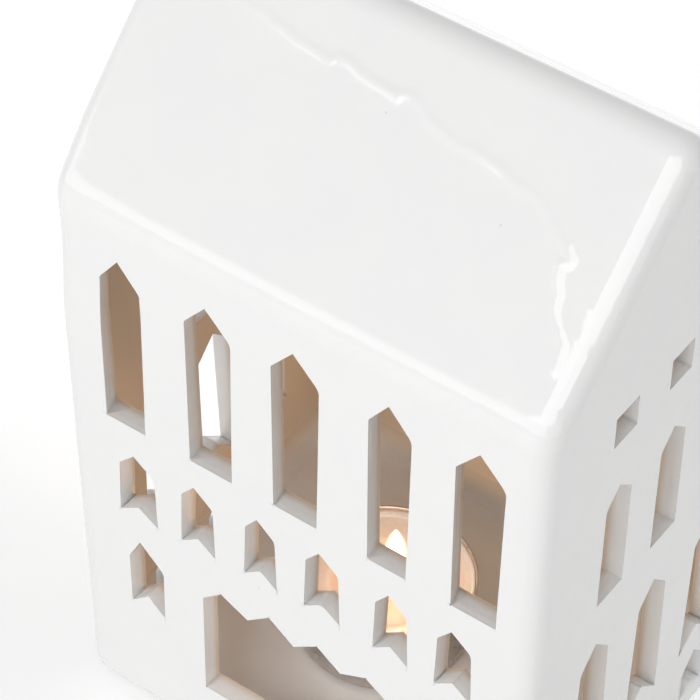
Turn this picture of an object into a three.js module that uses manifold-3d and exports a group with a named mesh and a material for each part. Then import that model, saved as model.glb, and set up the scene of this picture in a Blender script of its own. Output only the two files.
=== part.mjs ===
// A slip-cast, glazed ceramic candle house with pointed windows cut by hand, and the tealight
// that burns on its floor. Millimetres, +Z up. The origin is the middle of the house's box, at the
// height of the surface that the house stands on. The long front wall faces -Y.
import * as THREE from 'three';
import { mergeVertices } from 'three/addons/utils/BufferGeometryUtils.js';
import Module from 'manifold-3d';

const wasm = await Module();
wasm.setup();

// House shell
const LENGTH = 105; // along X at the foot, gable face to gable face
const LEFT_LEAN = 0.024; // how far the left gable leans out, for each unit of height
const DEPTH = 82.5; // along Y, front face to back face
const EAVE_HEIGHT = 133; // where the planes of wall and roof meet, before rounding
const RIDGE_HEIGHT = 171.5; // where the two roof planes meet, before rounding
const WALL = 4.5;
const ROOF_WALL = 4.5;
const FLOOR_HEIGHT = 8; // top of the floor inside
const FLOOR_WALL = 4.5; // the floor is hollow underneath, inside the foot ring
const FOOT_WIDTH = 6; // flat width of the foot ring
const GABLE_EDGE_RADIUS = 4.5; // upright corners and the sloping edges of the gables
const EAVE_RADIUS = 9;
const RIDGE_RADIUS = 5.5;
const BASE_RADIUS = 5;
const INNER_RADIUS = 2.5; // soft corners that the slip leaves inside

// Tealight
const TEALIGHT_PLACE = [-6.9, -1.3]; // where its axis stands on the floor
const CUP_DIAMETER = 38; // over the rim
const CUP_HEIGHT = 15;
const CUP_WALL = 0.3;
const CUP_TAPER = 0.5; // how much less the radius is at the foot
const CUP_FOOT_RADIUS = 1.2;
const RIM_RADIUS = 0.6; // of the rolled rim's section
const WAX_DEPTH = 11.7;
const POOL_DIAMETER = 20; // melted wax round the wick
const POOL_DEPTH = 0.7;
const POOL_BANK = 1.5; // width of the soft slope down to the pool
const SUSTAINER_DIAMETER = 12.5;
const SUSTAINER_THICKNESS = 0.4;
const COLLAR_DIAMETER = 3;
const COLLAR_HEIGHT = 3.5;
const WICK_DIAMETER = 1.4;
const WICK_HEIGHT = 7; // above the pool
const WICK_CURL = 2; // how far the burning end has curled over
const GAP = 0.3; // between pieces that touch

// Openings of the long walls. A row is set in from the corners by its margin, and stands clear
// of the row below by its rail. A window's jamb and apex are heights above its sill, its peak is
// how far the sill rises to a point in the middle, and its lean is how far the apex is off centre.
// The knife swept round its shoulders, and left and right are the radii that it left there.
const DOOR_CLEARANCE = 5.6; // what the doorway is wider than the tealight that goes in by it
const DOOR = { arches: 4, sill: 16.5, jamb: 27.1, valley: 27.9, apex: 31.7, lean: -0.5 };
const SHORT = {
  count: 6, margin: 12.7, rail: 9, width: 7.2, foot: 8, peak: 3, jamb: 13.2, apex: 16.8, lean: -0.7,
  left: 0.6, right: 2.2,
};
const TALL = {
  count: 5, margin: 8.8, rail: 7.3, width: 9.9, foot: 9.2, peak: 0, jamb: 35.9, apex: 41.7, lean: -0.4,
  left: 1, right: 3,
};
const SIDE = {
  drop: 26.6, width: 8.3, foot: 8, peak: 3.8, jamb: 13.2, apex: 18.8, lean: -1.4, left: 0.8, right: 2.2,
};

// Openings of the gables, in columns, from the floor up. The shift moves a row off centre.
const COLUMNS = 3;
const VENT = {
  margin: 17.5, shift: 1.2, rail: 0.6, width: 7.2, foot: 7.4, peak: 2.4, jamb: 7.8, apex: 11.8, lean: 0,
  left: 1.6, right: 0.8,
};
const PORTAL = {
  margin: 16.5, shift: 0.4, rail: 4.4, width: 9.2, foot: 11, peak: 5, jamb: 32, apex: 36.8, lean: 0,
  left: 2.6, right: 1,
};
const LANCET = {
  margin: 19, shift: 1.5, rail: 11.6, width: 8, foot: 8.4, peak: 0, jamb: 25.4, apex: 29.2, lean: -0.2,
  left: 2.6, right: 1,
};
const PANE = { margin: 19.4, shift: 1.4, rail: 12.2, width: 7.2, height: 7.2 };
const LEFT_PORTAL_RISE = 5; // the left gable's portals were cut higher than the right gable's

// How far the knife strayed from the even places: [sideways, up], and how much wider it cut
const DOOR_CUTS = [[-0.6, -0.6], [-0.1, 0.6], [0.2, 0.2], [0.6, -0.9]];
const SHORT_CUTS = [
  [-0.7, -0.7, 1], [-0.9, 0, 0], [-0.7, 0.9, -0.5], [-1, 1.2, 0.1], [0, 0.3, -0.3], [-0.6, 0, 0],
];
const TALL_CUTS = [[-0.2, 0, -0.3], [0.3, 0, 0.3], [0.1, 0.4, 0.4], [1, 0, -0.9], [0.4, 0, 0.3]];
const RIGHT_CUTS = [[0.2, 0.6, 0], [0, 0, 0], [-0.2, -0.4, 0]];
const LEFT_CUTS = [[3.8, 0.6, 0], [1, 0, 1], [-1.4, -0.4, 0]];
const LEFT_VENT_CUTS = [[3.8, 0, 0], [1, 0, 0], [-1.4, 0, 0]];
const NO_CUTS = [[0, 0, 0]];

// How finely the round forms are made
const CORNER_STEPS = 4; // half the steps of a rounded corner in an outline
const EDGE_STEPS = 5; // steps across a rounded end
const SHOULDER_STEPS = 2; // half the steps of a window's rounded shoulder
const BEAD_STEPS = 6; // steps of the small round forms of the tealight
const TURN_STEPS = 40; // sides of a turned piece
const WICK_SIDES = 8;
const WICK_STEPS = 14;
const CUTTER_REACH = 1; // how far a cutter runs past what it cuts
const CORNER_FULLNESS = 1.05; // a section's corners stay rounder than the ends that cross them
const MERGE_DISTANCE = 1e-5; // corners of a surface that lie closer than this are one

const halfLength = LENGTH / 2;
const halfDepth = DEPTH / 2;
const roofAngle = Math.atan2(RIDGE_HEIGHT - EAVE_HEIGHT, halfDepth);

// A closed outline through corners [x, y, radius], going round anticlockwise
function outline(corners) {
  const shape = new THREE.Shape();
  corners.forEach(([x, y, radius = 0], i) => {
    const corner = new THREE.Vector2(x, y);
    const before = new THREE.Vector2(...corners.at(i - 1).slice(0, 2));
    const after = new THREE.Vector2(...corners[(i + 1) % corners.length].slice(0, 2));
    const into = corner.clone().sub(before).normalize();
    const out = after.sub(corner).normalize();
    const turn = Math.atan2(into.cross(out), into.dot(out));
    const side = Math.sign(turn);
    const start = corner.addScaledVector(into, -radius * Math.tan(Math.abs(turn) / 2));
    if (i === 0) shape.moveTo(start.x, start.y);
    if (radius === 0) {
      shape.lineTo(start.x, start.y);
      return;
    }
    const centre = new THREE.Vector2(-into.y, into.x).multiplyScalar(side * radius).add(start);
    const from = Math.atan2(start.y - centre.y, start.x - centre.x);
    shape.absarc(centre.x, centre.y, radius, from, from + turn, side < 0);
  });
  shape.closePath();
  return shape;
}

function rectangle(left, bottom, right, top, radius = 0) {
  return outline([
    [left, bottom, radius],
    [right, bottom, radius],
    [right, top, radius],
    [left, top, radius],
  ]);
}

// The house's section across its length, set in by a wall and standing on a given height
function houseSection(wall, roofWall, bottom, radii) {
  const y = halfDepth - wall;
  const ridge = RIDGE_HEIGHT - roofWall / Math.cos(roofAngle);
  const eave = ridge - y * Math.tan(roofAngle);
  return outline([
    [-y, bottom, radii.base],
    [y, bottom, radii.base],
    [y, eave, radii.eave],
    [0, ridge, radii.ridge],
    [-y, eave, radii.eave],
  ]);
}

// The left gable leans out, and takes the ends of the long walls and of the roof with it
function leanLeft(geometry) {
  const place = geometry.attributes.position;
  for (let i = 0; i < place.count; i += 1) {
    if (place.getX(i) < 0) place.setX(i, place.getX(i) - LEFT_LEAN * place.getZ(i));
  }
  return geometry;
}

// A section in Y and Z made a solid along X, with rounded ends
function alongX(section, length, endRadius) {
  const straight = length - 2 * endRadius;
  const geometry = new THREE.ExtrudeGeometry(section, {
    depth: straight,
    curveSegments: CORNER_STEPS,
    bevelThickness: endRadius,
    bevelSize: endRadius,
    bevelOffset: -endRadius,
    bevelSegments: EDGE_STEPS,
  });
  geometry.translate(0, 0, -straight / 2);
  return toSolid(leanLeft(geometry.applyMatrix4(basis([0, 1, 0], [0, 0, 1], [1, 0, 0]))));
}

function basis(...axes) {
  return new THREE.Matrix4().makeBasis(...axes.map((axis) => new THREE.Vector3(...axis)));
}

function toSolid(geometry) {
  geometry.deleteAttribute('normal');
  geometry.deleteAttribute('uv');
  const merged = mergeVertices(geometry, MERGE_DISTANCE);
  const vertProperties = merged.attributes.position.array;
  const triVerts = new Uint32Array(merged.index.array);
  return new wasm.Manifold(new wasm.Mesh({ numProp: 3, vertProperties, triVerts }));
}

function toGeometry(solid) {
  const mesh = solid.getMesh();
  const geometry = new THREE.BufferGeometry();
  geometry.setAttribute('position', new THREE.BufferAttribute(mesh.vertProperties, 3));
  geometry.setIndex(new THREE.BufferAttribute(mesh.triVerts, 1));
  geometry.computeVertexNormals();
  return geometry;
}

// The four walls that are cut. On each, the first axis runs to the right, seen from outside.
const front = { right: [1, 0, 0], out: [0, -1, 0], face: halfDepth, lean: 0, span: LENGTH };
const back = { right: [-1, 0, 0], out: [0, 1, 0], face: halfDepth, lean: 0, span: LENGTH };
const rightGable = { right: [0, 1, 0], out: [1, 0, 0], face: halfLength, lean: 0, span: DEPTH };
const leftGable = { right: [0, -1, 0], out: [-1, 0, 0], face: halfLength, lean: LEFT_LEAN, span: DEPTH };

// A knife cut straight through one wall, as far out as the wall leans
function cutter(shape, wall) {
  const depth = WALL + wall.lean * RIDGE_HEIGHT + 2 * CUTTER_REACH;
  const geometry = new THREE.ExtrudeGeometry(shape, {
    depth,
    curveSegments: SHOULDER_STEPS,
    bevelEnabled: false,
  });
  geometry.translate(0, 0, wall.face - WALL - CUTTER_REACH);
  return toSolid(geometry.applyMatrix4(basis(wall.right, [0, 0, 1], wall.out)));
}

// A window with a pointed head, its sill at the given height
function lancet(centre, sill, cut, wider = 0) {
  const head = (cut.width + wider) / 2;
  const foot = (cut.foot + wider) / 2;
  const corners = [
    [centre - foot, sill],
    [centre + foot, sill],
    [centre + head, sill + cut.jamb, cut.right],
    [centre + cut.lean, sill + cut.apex],
    [centre - head, sill + cut.jamb, cut.left],
  ];
  if (cut.peak > 0) corners.splice(1, 0, [centre, sill + cut.peak]);
  return outline(corners);
}

function pane(centre, sill, cut) {
  const half = cut.width / 2;
  return rectangle(centre - half, sill, centre + half, sill + cut.height);
}

// The doorway: a level sill, upright sides and a head of pointed arches side by side
function doorway(cut) {
  const width = CUP_DIAMETER + DOOR_CLEARANCE;
  const half = width / 2;
  const pitch = width / cut.arches;
  const corners = [[-half, cut.sill], [half, cut.sill], [half, cut.sill + cut.jamb]];
  for (let i = cut.arches - 1; i >= 0; i -= 1) {
    const [aside, up] = DOOR_CUTS[i % DOOR_CUTS.length];
    corners.push([-half + (i + 0.5) * pitch + cut.lean + aside, cut.sill + cut.apex + up]);
    if (i > 0) corners.push([-half + i * pitch + cut.lean / 2, cut.sill + cut.valley]);
  }
  corners.push([-half, cut.sill + cut.jamb]);
  return outline(corners);
}

// A row of openings, evenly spaced between the margins but for the knife's straying
function row(wall, count, sill, cut, cuts, make) {
  const pitch = (wall.span - 2 * cut.margin - cut.width) / (count - 1);
  return Array.from({ length: count }, (_, i) => {
    const [aside, up, wider] = cuts[i % cuts.length];
    const centre = (i - (count - 1) / 2) * pitch + (cut.shift ?? 0) + aside;
    return make(centre, sill + up, cut, wider);
  });
}

function longWallWindows(wall) {
  const shortSill = DOOR.sill + DOOR.apex + SHORT.rail;
  const tallSill = shortSill + SHORT.apex + TALL.rail;
  const sideSill = shortSill - SIDE.drop;
  const sideCentre = wall.span / 2 - SHORT.margin - SIDE.width / 2;
  return [
    lancet(-sideCentre, sideSill, SIDE),
    lancet(sideCentre, sideSill, SIDE),
    ...row(wall, SHORT.count, shortSill, SHORT, SHORT_CUTS, lancet),
    ...row(wall, TALL.count, tallSill, TALL, TALL_CUTS, lancet),
  ];
}

function gableOpenings(wall, ventCuts, cuts, portalRise) {
  const ventSill = FLOOR_HEIGHT + VENT.rail;
  const portalSill = ventSill + VENT.apex + PORTAL.rail;
  const lancetSill = portalSill + PORTAL.apex + LANCET.rail;
  const paneSill = lancetSill + LANCET.apex + PANE.rail;
  return [
    ...row(wall, COLUMNS, ventSill, VENT, ventCuts, lancet),
    ...row(wall, COLUMNS, portalSill + portalRise, PORTAL, cuts, lancet),
    ...row(wall, COLUMNS, lancetSill, LANCET, cuts, lancet),
    ...row(wall, COLUMNS, paneSill, PANE, cuts, pane),
  ];
}

// The hollow under the floor, inside the foot ring
function footHollow() {
  const depth = FLOOR_HEIGHT - FLOOR_WALL;
  const x = halfLength - BASE_RADIUS - FOOT_WIDTH;
  const y = halfDepth - BASE_RADIUS - FOOT_WIDTH;
  const geometry = new THREE.ExtrudeGeometry(rectangle(-x, -y, x, y, BASE_RADIUS), {
    depth: depth + CUTTER_REACH,
    curveSegments: CORNER_STEPS,
    bevelEnabled: false,
  });
  return toSolid(geometry.translate(0, 0, -CUTTER_REACH));
}

function houseShell() {
  const outerRadius = (radius) => Math.max(radius, GABLE_EDGE_RADIUS * CORNER_FULLNESS);
  const outerRadii = {
    base: outerRadius(BASE_RADIUS),
    eave: outerRadius(EAVE_RADIUS),
    ridge: outerRadius(RIDGE_RADIUS),
  };
  const innerRadii = {
    base: INNER_RADIUS,
    eave: Math.max(EAVE_RADIUS - ROOF_WALL, INNER_RADIUS),
    ridge: Math.max(RIDGE_RADIUS - ROOF_WALL, INNER_RADIUS),
  };
  const outer = alongX(houseSection(0, 0, 0, outerRadii), LENGTH, GABLE_EDGE_RADIUS);
  const innerSection = houseSection(WALL, ROOF_WALL, FLOOR_HEIGHT, innerRadii);
  const inner = alongX(innerSection, LENGTH - 2 * WALL, INNER_RADIUS / CORNER_FULLNESS);
  const rightOpenings = gableOpenings(rightGable, NO_CUTS, RIGHT_CUTS, 0);
  const leftOpenings = gableOpenings(leftGable, LEFT_VENT_CUTS, LEFT_CUTS, LEFT_PORTAL_RISE);
  const cuts = [
    cutter(doorway(DOOR), front),
    ...longWallWindows(front).map((shape) => cutter(shape, front)),
    ...longWallWindows(back).map((shape) => cutter(shape, back)),
    ...rightOpenings.map((shape) => cutter(shape, rightGable)),
    ...leftOpenings.map((shape) => cutter(shape, leftGable)),
    footHollow(),
  ];
  const shell = cuts.reduce((solid, cut) => solid.subtract(cut), outer.subtract(inner));
  return toGeometry(shell);
}

// Points of an arc in a turned piece's profile, angles in degrees
function arc(radius, centreRadius, centreHeight, from, to) {
  return Array.from({ length: BEAD_STEPS + 1 }, (_, i) => {
    const angle = THREE.MathUtils.degToRad(from + ((to - from) * i) / BEAD_STEPS);
    return [centreRadius + radius * Math.cos(angle), centreHeight + radius * Math.sin(angle)];
  });
}

// A turned piece, from profile points [radius, height] that go up the outside and down the inside
function turned(points) {
  const profile = points.map(([radius, height]) => new THREE.Vector2(radius, height));
  return new THREE.LatheGeometry(profile, TURN_STEPS).rotateX(Math.PI / 2);
}

// Where the pieces of the tealight lie above the foot of its cup
const wallInside = CUP_DIAMETER / 2 - 2 * RIM_RADIUS; // inner radius just under the rim
const rimHeight = CUP_HEIGHT - RIM_RADIUS;
const insideAt = (height) => wallInside - CUP_TAPER * (1 - height / rimHeight);
const bedHeight = CUP_WALL + GAP; // undersides of the wax and the sustainer
const waxHeight = bedHeight + WAX_DEPTH;
const poolHeight = waxHeight - POOL_DEPTH;
const plateHeight = bedHeight + SUSTAINER_THICKNESS;
const collarHeight = bedHeight + COLLAR_HEIGHT;
const boreRadius = WICK_DIAMETER / 2 + GAP;

// Drawn from thin sheet, the rim rolled outwards
function tealightCup() {
  const footCentre = insideAt(0) + CUP_WALL - CUP_FOOT_RADIUS;
  const rimCentre = CUP_DIAMETER / 2 - RIM_RADIUS;
  return turned([
    [0, 0],
    ...arc(CUP_FOOT_RADIUS, footCentre, CUP_FOOT_RADIUS, -90, 0),
    [wallInside + CUP_WALL, rimHeight - RIM_RADIUS],
    ...arc(RIM_RADIUS, rimCentre, rimHeight, -90, 180),
    ...arc(CUP_FOOT_RADIUS - CUP_WALL, footCentre, CUP_FOOT_RADIUS, 0, -90),
    [0, CUP_WALL],
  ]);
}

// Poured round the sustainer and the wick, melted to a pool in the middle
function tealightWax() {
  const footRadius = CUP_FOOT_RADIUS - CUP_WALL;
  const footCentre = insideAt(0) - GAP - footRadius;
  const plateRadius = SUSTAINER_DIAMETER / 2 + GAP;
  const collarRadius = COLLAR_DIAMETER / 2 + GAP;
  const poolRadius = POOL_DIAMETER / 2;
  return turned([
    [plateRadius, bedHeight],
    ...arc(footRadius, footCentre, bedHeight + footRadius, -90, 0),
    [insideAt(waxHeight) - GAP, waxHeight],
    [poolRadius + POOL_BANK, waxHeight],
    [poolRadius + POOL_BANK / 2, waxHeight - POOL_DEPTH / 4],
    [poolRadius, poolHeight],
    [boreRadius, poolHeight],
    [boreRadius, collarHeight + GAP],
    [collarRadius, collarHeight + GAP],
    [collarRadius, plateHeight + GAP],
    [plateRadius, plateHeight + GAP],
    [plateRadius, bedHeight],
  ]);
}

// Pressed from thin steel, its collar standing up round the wick
function wickSustainer() {
  return turned([
    [boreRadius, bedHeight],
    [SUSTAINER_DIAMETER / 2, bedHeight],
    [SUSTAINER_DIAMETER / 2, plateHeight],
    [COLLAR_DIAMETER / 2, plateHeight],
    [COLLAR_DIAMETER / 2, collarHeight],
    [boreRadius, collarHeight],
    [boreRadius, bedHeight],
  ]);
}

// Upright in the wax, then curled over where it burns
function wick() {
  const section = new THREE.Shape().absarc(0, 0, WICK_DIAMETER / 2, 0, 2 * Math.PI);
  const foot = new THREE.Vector3(0, 0, bedHeight);
  const neck = new THREE.Vector3(0, 0, poolHeight);
  const bend = new THREE.Vector3(0, 0, poolHeight + WICK_HEIGHT / 2);
  const tip = new THREE.Vector3(WICK_CURL, 0, poolHeight + WICK_HEIGHT);
  const route = new THREE.CurvePath();
  route.add(new THREE.LineCurve3(foot, neck));
  route.add(new THREE.QuadraticBezierCurve3(neck, bend, tip));
  return new THREE.ExtrudeGeometry(section, {
    extrudePath: route,
    steps: WICK_STEPS,
    curveSegments: WICK_SIDES / 2,
  });
}

function piece(name, geometry, colour, roughness, metalness) {
  const material = new THREE.MeshStandardMaterial({ color: colour, roughness, metalness });
  const mesh = new THREE.Mesh(geometry, material);
  mesh.name = name;
  return mesh;
}

const tealight = new THREE.Group();
tealight.position.set(...TEALIGHT_PLACE, FLOOR_HEIGHT + GAP);
tealight.add(
  piece('tealight_cup', tealightCup(), 0xc9cbcc, 0.35, 1),
  piece('tealight_wax', tealightWax(), 0xf3dcc4, 0.45, 0),
  piece('wick_sustainer', wickSustainer(), 0xb4b6b8, 0.4, 1),
  piece('wick', wick(), 0x3a322b, 0.9, 0),
);

const shell = houseShell();
shell.computeBoundingBox();
const candleHouse = new THREE.Group();
candleHouse.position.x = -shell.boundingBox.getCenter(new THREE.Vector3()).x;
candleHouse.add(piece('house_shell', shell, 0xf4f3f0, 0.12, 0), tealight);

export default candleHouse;
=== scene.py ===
# %% [markdown]
# A glazed candle house with a lit tealight.
# The construction is finished already: a slip-cast house with windows cut through its walls, and
# the cup, wax, sustainer and wick of a tealight on its floor. This file gives those pieces the
# looks of the real ones, cell by cell, in metres and in the construction's own frame.
# The first three lines load the construction, and nothing in it is moved or resized later.

# %% Load the frame
import math

import bmesh
import bpy
from mathutils import Matrix, Vector, noise


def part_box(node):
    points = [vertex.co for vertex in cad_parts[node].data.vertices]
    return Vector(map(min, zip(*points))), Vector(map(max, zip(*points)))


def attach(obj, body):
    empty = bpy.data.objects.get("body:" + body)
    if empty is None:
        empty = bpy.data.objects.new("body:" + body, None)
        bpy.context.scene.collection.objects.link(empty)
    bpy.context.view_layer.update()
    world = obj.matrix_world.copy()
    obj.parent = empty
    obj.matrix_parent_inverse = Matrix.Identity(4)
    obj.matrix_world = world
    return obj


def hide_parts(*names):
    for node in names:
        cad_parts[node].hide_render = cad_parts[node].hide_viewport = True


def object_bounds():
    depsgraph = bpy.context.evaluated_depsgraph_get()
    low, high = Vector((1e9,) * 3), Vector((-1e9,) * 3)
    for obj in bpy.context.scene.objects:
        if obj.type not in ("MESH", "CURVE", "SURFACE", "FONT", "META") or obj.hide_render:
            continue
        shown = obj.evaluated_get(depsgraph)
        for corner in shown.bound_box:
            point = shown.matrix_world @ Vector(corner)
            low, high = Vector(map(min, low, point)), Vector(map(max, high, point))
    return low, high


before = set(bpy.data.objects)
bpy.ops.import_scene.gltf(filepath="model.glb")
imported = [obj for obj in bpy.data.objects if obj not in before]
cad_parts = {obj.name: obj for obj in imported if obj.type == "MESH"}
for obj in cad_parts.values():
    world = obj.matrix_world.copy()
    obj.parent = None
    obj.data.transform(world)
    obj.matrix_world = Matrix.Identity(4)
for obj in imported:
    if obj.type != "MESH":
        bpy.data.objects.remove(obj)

MM = 0.001
cad_low, cad_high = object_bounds()
print("construction, mm:", [round(v / MM, 2) for v in (*cad_low, *cad_high)])

# %% [markdown]
# The camera comes first, because every later choice is judged through it. It looks down on the
# front wall and the right gable from the front right. Its lens is long, so the walls hardly
# converge. The lens and the place were worked out from the window corners and from the round rim
# of the tealight, which is 38 mm across on every standard one.

# %% The camera
FOCAL_PIXELS = 3231.75
FRAME_PIXELS = 700
SENSOR = 36.0
CAMERA_PLACE = Vector((0.23408, -0.35265, 0.51937))
AZIMUTH = math.radians(35.28)
ELEVATION = math.radians(45.455)
ROLL = math.radians(0.9175)


def direction(azimuth, elevation):
    """The unit vector towards a place round the object: azimuth 0 is -Y and 90 degrees is +X."""
    level = math.cos(elevation)
    return Vector((math.sin(azimuth) * level, -math.cos(azimuth) * level, math.sin(elevation)))


backward = direction(AZIMUTH, ELEVATION)
rightward = Vector((math.cos(AZIMUTH), math.sin(AZIMUTH), 0))
axes = Matrix((rightward, backward.cross(rightward), backward)).transposed()
camera_data = bpy.data.cameras.new("camera")
camera_data.sensor_width = SENSOR
camera_data.lens = FOCAL_PIXELS * SENSOR / FRAME_PIXELS
camera = bpy.data.objects.new("camera", camera_data)
bpy.context.collection.objects.link(camera)
turned_axes = Matrix.Rotation(ROLL, 3, backward) @ axes
camera.matrix_world = Matrix.Translation(CAMERA_PLACE) @ turned_axes.to_4x4()
bpy.context.scene.camera = camera
bpy.context.scene.view_settings.view_transform = "Standard"
print("lens, mm:", round(camera_data.lens, 1))

# %% [markdown]
# Shader nodes are easier to read when each is made and wired in one line, and add_node does that.
# A keyword that names one of the node's own settings sets it, and any other keyword goes to the
# input socket of that name, or of that number. Spaces in a name are written as underscores.

# %% Helpers for node trees
def add_object(name, data):
    """A new object in the scene, at the origin: its place is in its mesh."""
    thing = bpy.data.objects.new(name, data)
    bpy.context.collection.objects.link(thing)
    return thing


def add_node(tree, kind, **values):
    """Adds a node; each value is a setting, a number, a colour or the socket to link from."""
    node = tree.nodes.new(kind)
    for name, value in values.items():
        if hasattr(node, name):
            setattr(node, name, value)
            continue
        socket = node.inputs[int(name[1:]) if name[1:].isdigit() else name.replace("_", " ")]
        if isinstance(value, bpy.types.NodeSocket):
            tree.links.new(value, socket)
        else:
            socket.default_value = value
    return node


def math_node(tree, operation, a, b=0.0):
    """The result socket of one sum on two numbers or sockets."""
    return add_node(tree, "ShaderNodeMath", operation=operation, _0=a, _1=b).outputs[0]


def multiply(tree, a, b):
    """The product of two numbers or sockets."""
    return math_node(tree, "MULTIPLY", a, b)


def ramp(tree, value, low, high, start=0.0, end=1.0):
    """A soft step from one value to another while the input goes from low to high."""
    return add_node(
        tree, "ShaderNodeMapRange", interpolation_type="SMOOTHSTEP", Value=value, From_Min=low,
        From_Max=high, To_Min=start, To_Max=end,
    ).outputs[0]


def blend_colours(tree, share, first, second):
    """A colour between two others, and the share says how much of the second there is."""
    node = add_node(tree, "ShaderNodeMix", data_type="RGBA")
    for socket, value in (("Factor_Float", share), ("A_Color", first), ("B_Color", second)):
        target = next(s for s in node.inputs if s.identifier == socket)
        if isinstance(value, bpy.types.NodeSocket):
            tree.links.new(value, target)
        else:
            target.default_value = value
    return next(s for s in node.outputs if s.identifier == "Result_Color")


def new_material(name):
    """An empty material, its node tree and its output node."""
    material = bpy.data.materials.new(name)
    material.use_nodes = True
    tree = material.node_tree
    tree.nodes.clear()
    return material, tree, add_node(tree, "ShaderNodeOutputMaterial")


def new_group(name, output, **inputs):
    """An empty node group with number inputs, given with their defaults, and one number output."""
    group = bpy.data.node_groups.new(name, "ShaderNodeTree")
    for label, value in inputs.items():
        socket = group.interface.new_socket(label, in_out="INPUT", socket_type="NodeSocketFloat")
        socket.default_value = value
    group.interface.new_socket(output, in_out="OUTPUT", socket_type="NodeSocketFloat")
    return group, add_node(group, "NodeGroupInput").outputs, add_node(group, "NodeGroupOutput")


def use_group(tree, group, **values):
    """Places a group in a material, with its own values, and gives its output socket."""
    return add_node(tree, "ShaderNodeGroup", node_tree=group, **values).outputs[0]


def object_place(tree):
    """The shaded point, in metres and in the frame of the object."""
    return add_node(tree, "ShaderNodeTexCoord").outputs["Object"]


def coordinate(tree, axis):
    """The X, Y or Z of the shaded point."""
    return add_node(tree, "ShaderNodeSeparateXYZ", Vector=object_place(tree)).outputs[axis]


def drawn_lines(tree, width, stretch, detail):
    """A noise that is stretched into upright lines."""
    drawn = add_node(tree, "ShaderNodeMapping", Vector=object_place(tree), Scale=(1, 1, stretch))
    lines = add_node(
        tree, "ShaderNodeTexNoise", Vector=drawn.outputs[0], Scale=1 / width, Detail=detail,
    )
    return lines.outputs["Fac"]


def bent_normal(tree, height):
    """The normal of a surface with a fine relief, whose height is given in metres."""
    return add_node(tree, "ShaderNodeBump", Height=height, Distance=1.0, Strength=1.0).outputs[0]


def finish_material(tree, output, **values):
    """Ends a material in one principled shader with the given inputs."""
    shader = add_node(tree, "ShaderNodeBsdfPrincipled", **values)
    tree.links.new(shader.outputs[0], output.inputs["Surface"])


def seen_directly(tree):
    """1 on camera, glossy and transmission rays, and 0 on the rays that light the object."""
    rays = add_node(tree, "ShaderNodeLightPath").outputs
    sharp = math_node(tree, "MAXIMUM", rays["Is Glossy Ray"], rays["Is Transmission Ray"])
    return math_node(tree, "MAXIMUM", rays["Is Camera Ray"], sharp)


print("helpers for objects, nodes and materials ready")

# %% [markdown]
# Two effects come back on glaze, wax, foil, steel and cotton alike, so each is a node group that
# is built once. The mottle is a soft cloud of any size, which gives a value between a low and a
# high one: it makes gloss uneven and surfaces a little wavy. A noise keeps mostly to its middle
# values, so these are spread over the whole way. The specks are small round spots at random
# places, such as pinholes in a glaze or crumbs of soot. Both follow Object coordinates.

# %% Shared effects: the mottle and the specks
NOISE_LOW = 0.3
NOISE_HIGH = 0.7

mottle, given, result = new_group("mottle", "Value", Size=0.01, Low=0.0, High=1.0)
per_metre = math_node(mottle, "DIVIDE", 1, given["Size"])
cloud = add_node(
    mottle, "ShaderNodeTexNoise", Vector=object_place(mottle), Scale=per_metre, Detail=2.0,
)
spread = add_node(
    mottle, "ShaderNodeMapRange", Value=cloud.outputs["Fac"], From_Min=NOISE_LOW,
    From_Max=NOISE_HIGH, To_Min=given["Low"], To_Max=given["High"],
)
mottle.links.new(spread.outputs[0], result.inputs[0])

specks, given, result = new_group("specks", "Mask", Cell=0.01, Radius=0.1, Share=0.2)
per_metre = math_node(specks, "DIVIDE", 1, given["Cell"])
cells = add_node(specks, "ShaderNodeTexVoronoi", Vector=object_place(specks), Scale=per_metre)
draw = add_node(specks, "ShaderNodeSeparateColor", Color=cells.outputs["Color"])
chosen = math_node(specks, "LESS_THAN", draw.outputs[0], given["Share"])
near = add_node(
    specks, "ShaderNodeMapRange", Value=cells.outputs["Distance"], From_Min=given["Radius"],
    From_Max=multiply(specks, given["Radius"], 0.5),
)
specks.links.new(multiply(specks, chosen, near.outputs[0]), result.inputs[0])
print("node groups:", [group.name for group in bpy.data.node_groups])

# %% [markdown]
# The floor is a wide sheet. As the camera and reflections see it, a little glow is added, so that
# it runs out into plain white, while the rays that light the object meet an ordinary pale sheet.
# The shadow stays, because the glow is added to the shaded sheet and doesn't replace it. The glow
# is stronger behind the house, where plain white is wanted right up to the edge of the roof.

# %% The floor and the world
FLOOR_SIZE = 6.0
FLOOR_WHITE = (0.9, 0.9, 0.9, 1)
NEAR_GLOW = 0.16
FAR_GLOW = 0.4
GLOW_REACH = 60 * MM  # the glow grows from this far in front of the house's middle to behind it
WORLD_LEVEL = 0.63

floor_mesh = bpy.data.meshes.new("floor")
sheet = bmesh.new()
bmesh.ops.create_grid(sheet, x_segments=1, y_segments=1, size=FLOOR_SIZE / 2)
sheet.to_mesh(floor_mesh)
sheet.free()
floor = add_object("floor", floor_mesh)

floor_material, tree, output = new_material("pale_floor")
diffuse = add_node(tree, "ShaderNodeBsdfDiffuse", Color=FLOOR_WHITE)
grade = ramp(tree, coordinate(tree, "Y"), -GLOW_REACH, GLOW_REACH, NEAR_GLOW, FAR_GLOW)
strength = multiply(tree, seen_directly(tree), grade)
glow = add_node(tree, "ShaderNodeEmission", Strength=strength)
surface = add_node(tree, "ShaderNodeAddShader", _0=diffuse.outputs[0], _1=glow.outputs[0])
tree.links.new(surface.outputs[0], output.inputs["Surface"])
floor_mesh.materials.append(floor_material)

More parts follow.
